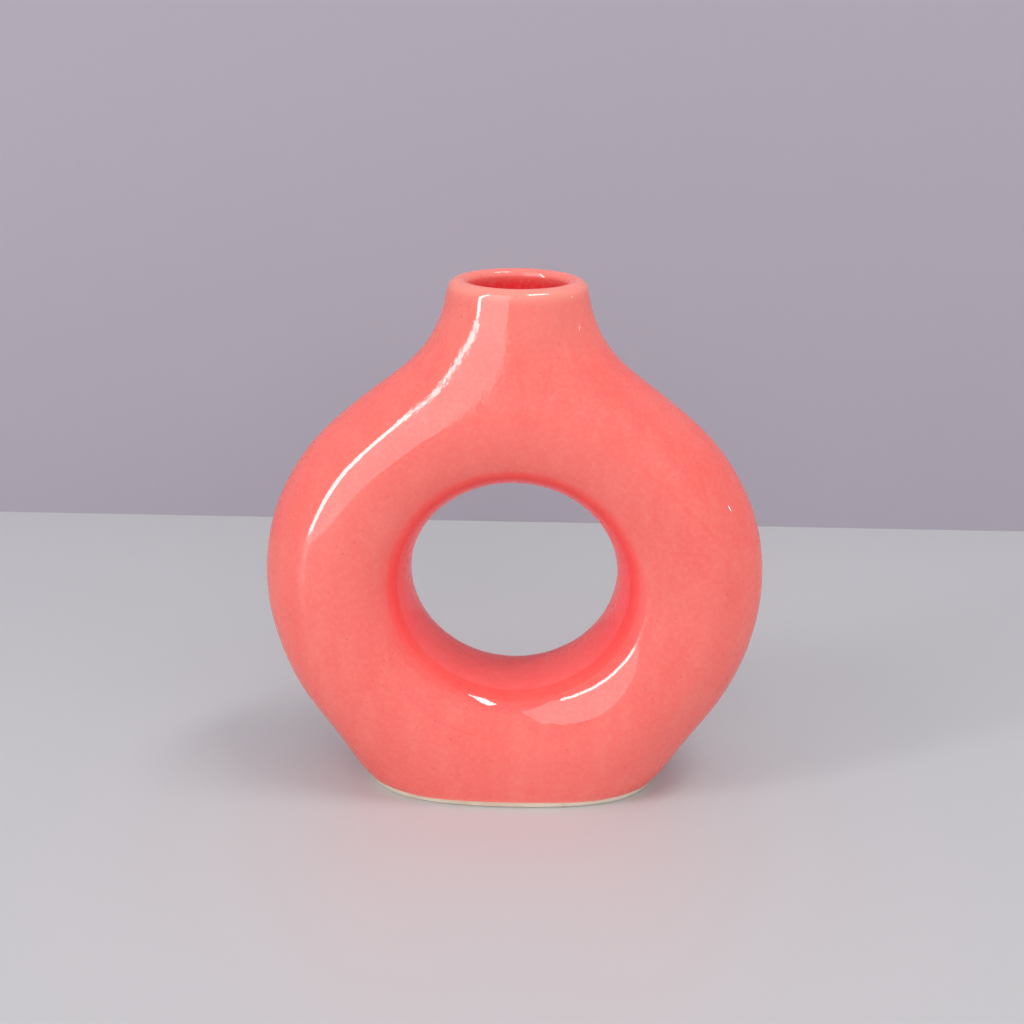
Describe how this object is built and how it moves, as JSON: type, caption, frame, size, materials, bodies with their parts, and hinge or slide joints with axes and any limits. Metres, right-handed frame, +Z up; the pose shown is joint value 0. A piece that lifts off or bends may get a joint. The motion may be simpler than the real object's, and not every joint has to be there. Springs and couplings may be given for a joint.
{
  "type": "ring vase",
  "caption": "Hollow glazed ceramic ring vase with a round hole through it, a flat oval foot and a short round neck that flows into the ring, for cut stems.",
  "frame": {"origin": "middle of the flat foot, on the plane the vase stands on", "axes": "+Z up out of the mouth, +Y through the ring's hole from the front to the back, +X across the ring; the pictured front looks along -Y"},
  "size_m": [0.12, 0.038, 0.1265],
  "materials": {
    "clay": "bare fired clay, matt",
    "coral_glaze": "glossy coral glaze",
    "lining_glaze": "glossy coral glaze, poured inside"
  },
  "bodies": {
    "root": {"front_shell": "clay", "rear_shell": "clay", "outer_glaze": "coral_glaze", "inner_glaze": "lining_glaze"}
  },
  "joints": []
}
